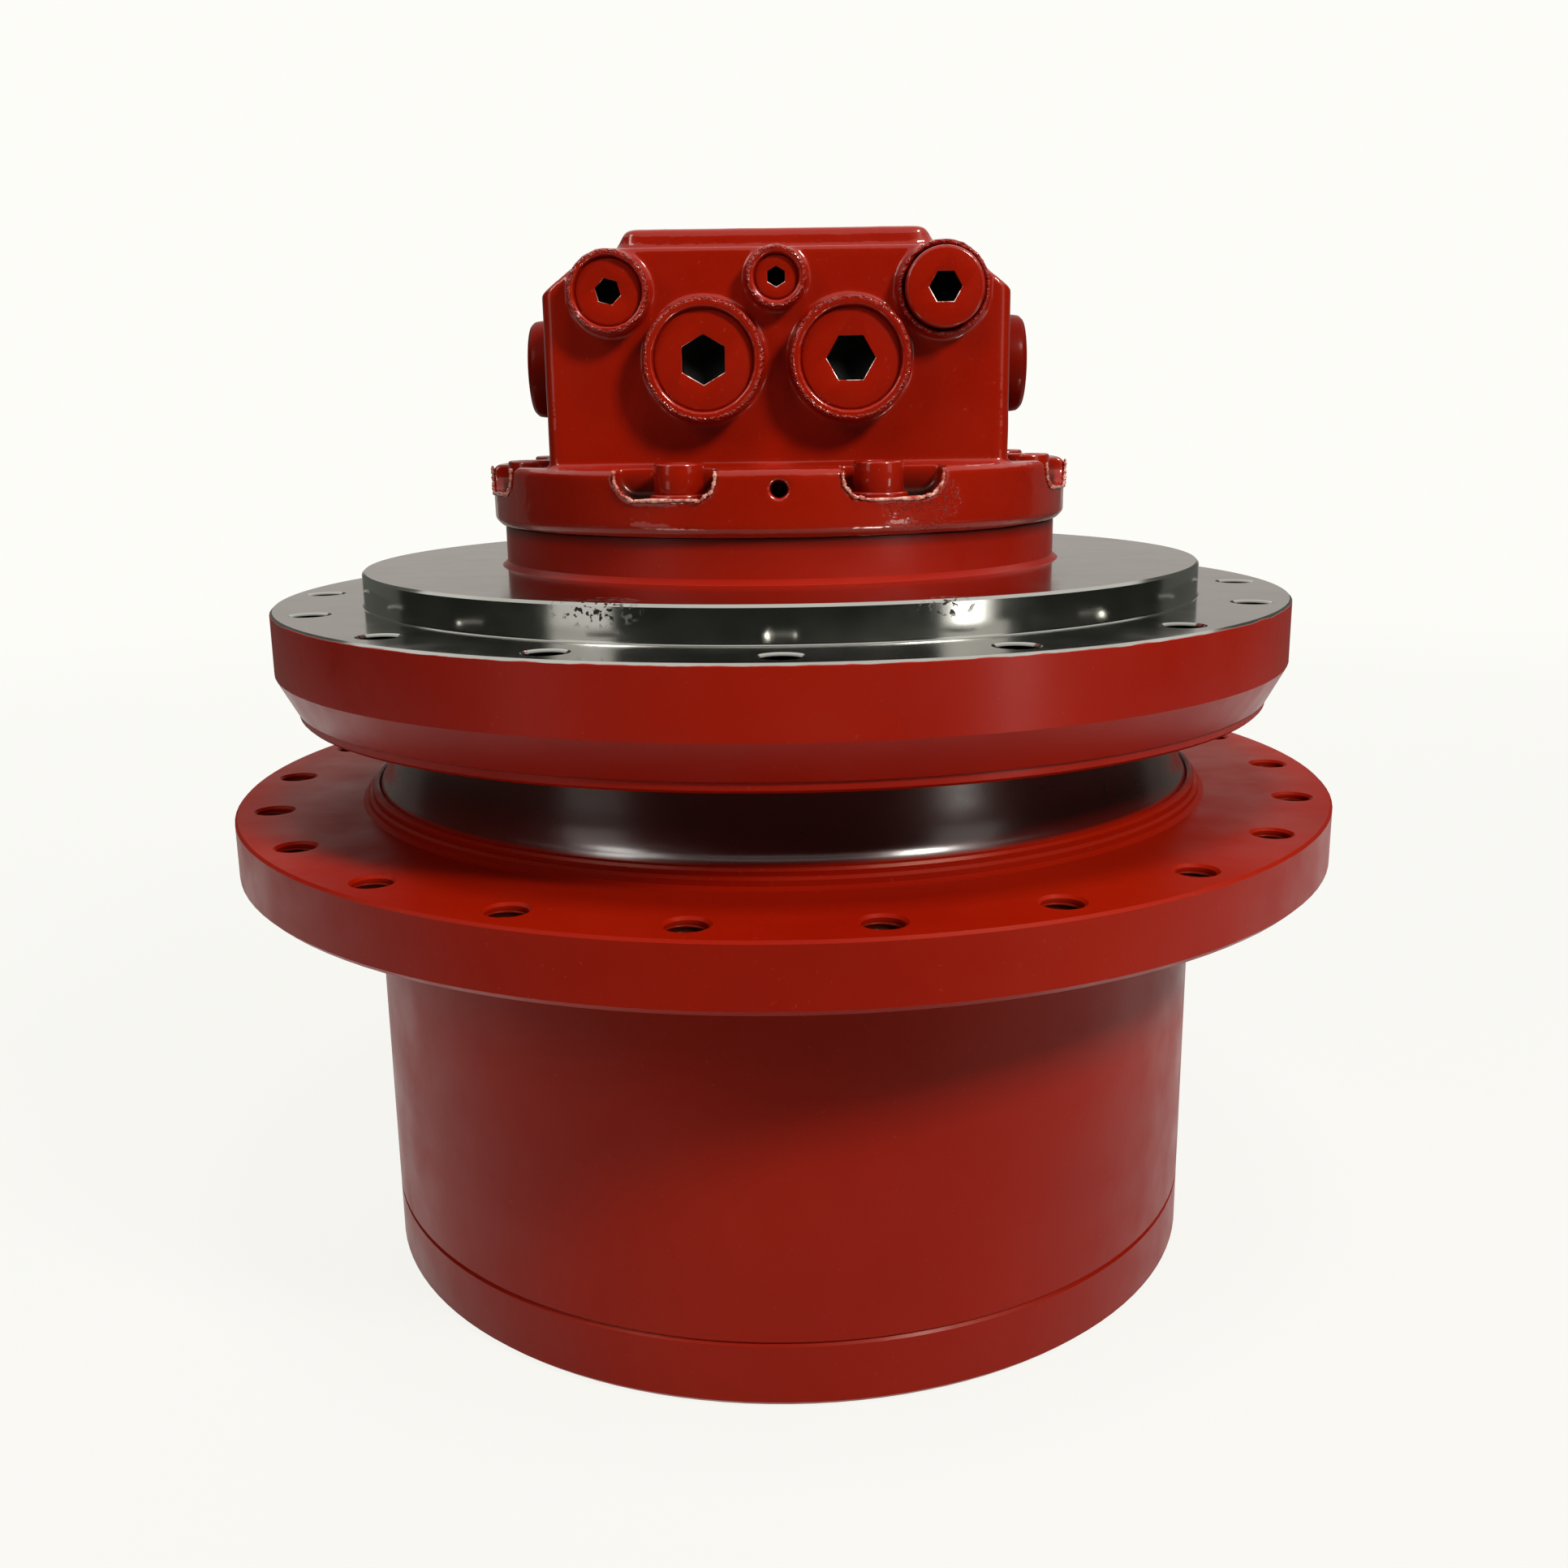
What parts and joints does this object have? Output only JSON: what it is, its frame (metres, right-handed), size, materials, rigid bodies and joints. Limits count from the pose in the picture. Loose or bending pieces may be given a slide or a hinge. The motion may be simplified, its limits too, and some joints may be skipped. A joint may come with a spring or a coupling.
{
  "type": "travel motor gearbox",
  "caption": "Hydraulic travel motor in a two stage planetary final drive: a fixed flanged spindle with a port block, and a flanged hub that turns round it and carries the sprocket.",
  "frame": {"origin": "centre of the end cover's outer face, on the shaft axis", "axes": "+Z along the shaft axis from the end cover to the port block, -Y towards the side with the oil ports, +X to the right of a person facing the ports"},
  "size_m": [0.4499, 0.45, 0.4075],
  "materials": {
    "red_paint": "glossy",
    "rubber": "matte",
    "bronze": "satin",
    "cast_iron": "matte",
    "ground_steel": "polished",
    "gear_steel": "satin",
    "dark_steel": "satin"
  },
  "bodies": {
    "spindle": {"spindle": "red_paint", "port_block": "red_paint", "port_block_screws": "red_paint", "main_port_plugs": "red_paint", "drain_port_plug": "red_paint", "gauge_port_plug": "red_paint", "pilot_port_plug": "red_paint", "spool_cap_left": "red_paint", "spool_cap_right": "red_paint", "spool_springs": "dark_steel", "relief_valves": "red_paint", "valve_plate": "bronze", "swash_plate": "ground_steel", "swash_pivots": "dark_steel", "shaft_outer_races": "ground_steel", "shaft_seal": "rubber", "brake_steel_plates": "dark_steel", "brake_springs": "dark_steel", "main_inner_races": "ground_steel", "seal_ring_fixed": "ground_steel", "spindle_o_rings": "rubber", "carrier_2": "cast_iron", "carrier_2_screws": "dark_steel", "planet_2_pins": "ground_steel", "planet_2_needles": "ground_steel"},
    "hub": {"hub": "red_paint", "hub_flange": "red_paint", "end_cover": "red_paint", "cover_screws": "red_paint", "cover_plugs": "red_paint", "thrust_plate": "bronze", "main_outer_races": "ground_steel", "seal_ring_turning": "ground_steel", "hub_o_rings": "rubber"},
    "input_shaft": {"drive_shaft": "ground_steel", "sun_gear_1": "gear_steel", "cylinder_block": "cast_iron", "pistons": "ground_steel", "piston_shoes": "bronze", "retainer_plate": "ground_steel", "block_springs": "dark_steel", "brake_friction_discs": "bronze", "shaft_inner_races": "ground_steel"},
    "shaft_ball_sets": {"shaft_bearing_balls": "ground_steel"},
    "first_carrier": {"carrier_1": "cast_iron", "sun_gear_2": "gear_steel", "planet_1_pins": "ground_steel", "planet_1_needles": "ground_steel"},
    "upper_ball_set": {"upper_balls": "bronze"},
    "lower_ball_set": {"lower_balls": "bronze"},
    "planet_1a": {"planet_1a": "gear_steel"},
    "planet_1b": {"planet_1b": "gear_steel"},
    "planet_1c": {"planet_1c": "gear_steel"},
    "planet_2a": {"planet_2a": "gear_steel"},
    "planet_2b": {"planet_2b": "gear_steel"},
    "planet_2c": {"planet_2c": "gear_steel"},
    "brake_piston": {"brake_piston": "dark_steel"},
    "counterbalance_spool": {"counterbalance_spool": "ground_steel"},
    "control_piston": {"control_piston": "ground_steel"}
  },
  "joints": [
    {"name": "hub_spin", "type": "hinge", "parent": "spindle", "child": "hub", "pos_m": [0, 0, 0], "axis": [0, 0, 1], "continuous": true},
    {"name": "first_carrier_spin", "type": "hinge", "parent": "spindle", "child": "first_carrier", "pos_m": [0, 0, 0], "axis": [0, 0, 1], "continuous": true},
    {"name": "input_spin", "type": "hinge", "parent": "spindle", "child": "input_shaft", "pos_m": [0, 0, 0], "axis": [0, 0, 1], "continuous": true},
    {"name": "shaft_balls_spin", "type": "hinge", "parent": "spindle", "child": "shaft_ball_sets", "pos_m": [0, 0, 0], "axis": [0, 0, 1], "continuous": true},
    {"name": "upper_balls_spin", "type": "hinge", "parent": "spindle", "child": "upper_ball_set", "pos_m": [0, 0, 0], "axis": [0, 0, 1], "continuous": true},
    {"name": "lower_balls_spin", "type": "hinge", "parent": "spindle", "child": "lower_ball_set", "pos_m": [0, 0, 0], "axis": [0, 0, 1], "continuous": true},
    {"name": "planet_1a_spin", "type": "hinge", "parent": "first_carrier", "child": "planet_1a", "pos_m": [0, 0.081, 0], "axis": [0, 0, 1], "continuous": true},
    {"name": "planet_1b_spin", "type": "hinge", "parent": "first_carrier", "child": "planet_1b", "pos_m": [-0.07015, -0.0405, 0], "axis": [0, 0, 1], "continuous": true},
    {"name": "planet_1c_spin", "type": "hinge", "parent": "first_carrier", "child": "planet_1c", "pos_m": [0.07015, -0.0405, 0], "axis": [0, 0, 1], "continuous": true},
    {"name": "planet_2a_spin", "type": "hinge", "parent": "spindle", "child": "planet_2a", "pos_m": [0, 0.08775, 0], "axis": [0, 0, 1], "continuous": true},
    {"name": "planet_2b_spin", "type": "hinge", "parent": "spindle", "child": "planet_2b", "pos_m": [-0.07599, -0.04387, 0], "axis": [0, 0, 1], "continuous": true},
    {"name": "planet_2c_spin", "type": "hinge", "parent": "spindle", "child": "planet_2c", "pos_m": [0.07599, -0.04387, 0], "axis": [0, 0, 1], "continuous": true},
    {"name": "brake_release", "type": "slide", "parent": "spindle", "child": "brake_piston", "axis": [0, 0, 1], "range_m": [0, 0.0015], "stiffness_N_per_m": 600000, "deforming": ["brake_springs"]},
    {"name": "spool_shift", "type": "slide", "parent": "spindle", "child": "counterbalance_spool", "axis": [1, 0, 0], "range_m": [-0.005, 0.005], "stiffness_N_per_m": 8000, "deforming": ["spool_springs"]},
    {"name": "control_lift", "type": "slide", "parent": "spindle", "child": "control_piston", "axis": [0, 0, 1], "range_m": [-0.005, 0]}
  ],
  "couplings": [
    {"joint": "first_carrier_spin", "follows": "hub_spin", "ratio": -4.2},
    {"joint": "input_spin", "follows": "hub_spin", "ratio": -36.44},
    {"joint": "shaft_balls_spin", "follows": "hub_spin", "ratio": -14.576},
    {"joint": "upper_balls_spin", "follows": "hub_spin", "ratio": 0.541},
    {"joint": "lower_balls_spin", "follows": "hub_spin", "ratio": 0.541},
    {"joint": "planet_1a_spin", "follows": "hub_spin", "ratio": 12.4},
    {"joint": "planet_1b_spin", "follows": "hub_spin", "ratio": 12.4},
    {"joint": "planet_1c_spin", "follows": "hub_spin", "ratio": 12.4},
    {"joint": "planet_2a_spin", "follows": "hub_spin", "ratio": 2.625},
    {"joint": "planet_2b_spin", "follows": "hub_spin", "ratio": 2.625},
    {"joint": "planet_2c_spin", "follows": "hub_spin", "ratio": 2.625}
  ]
}
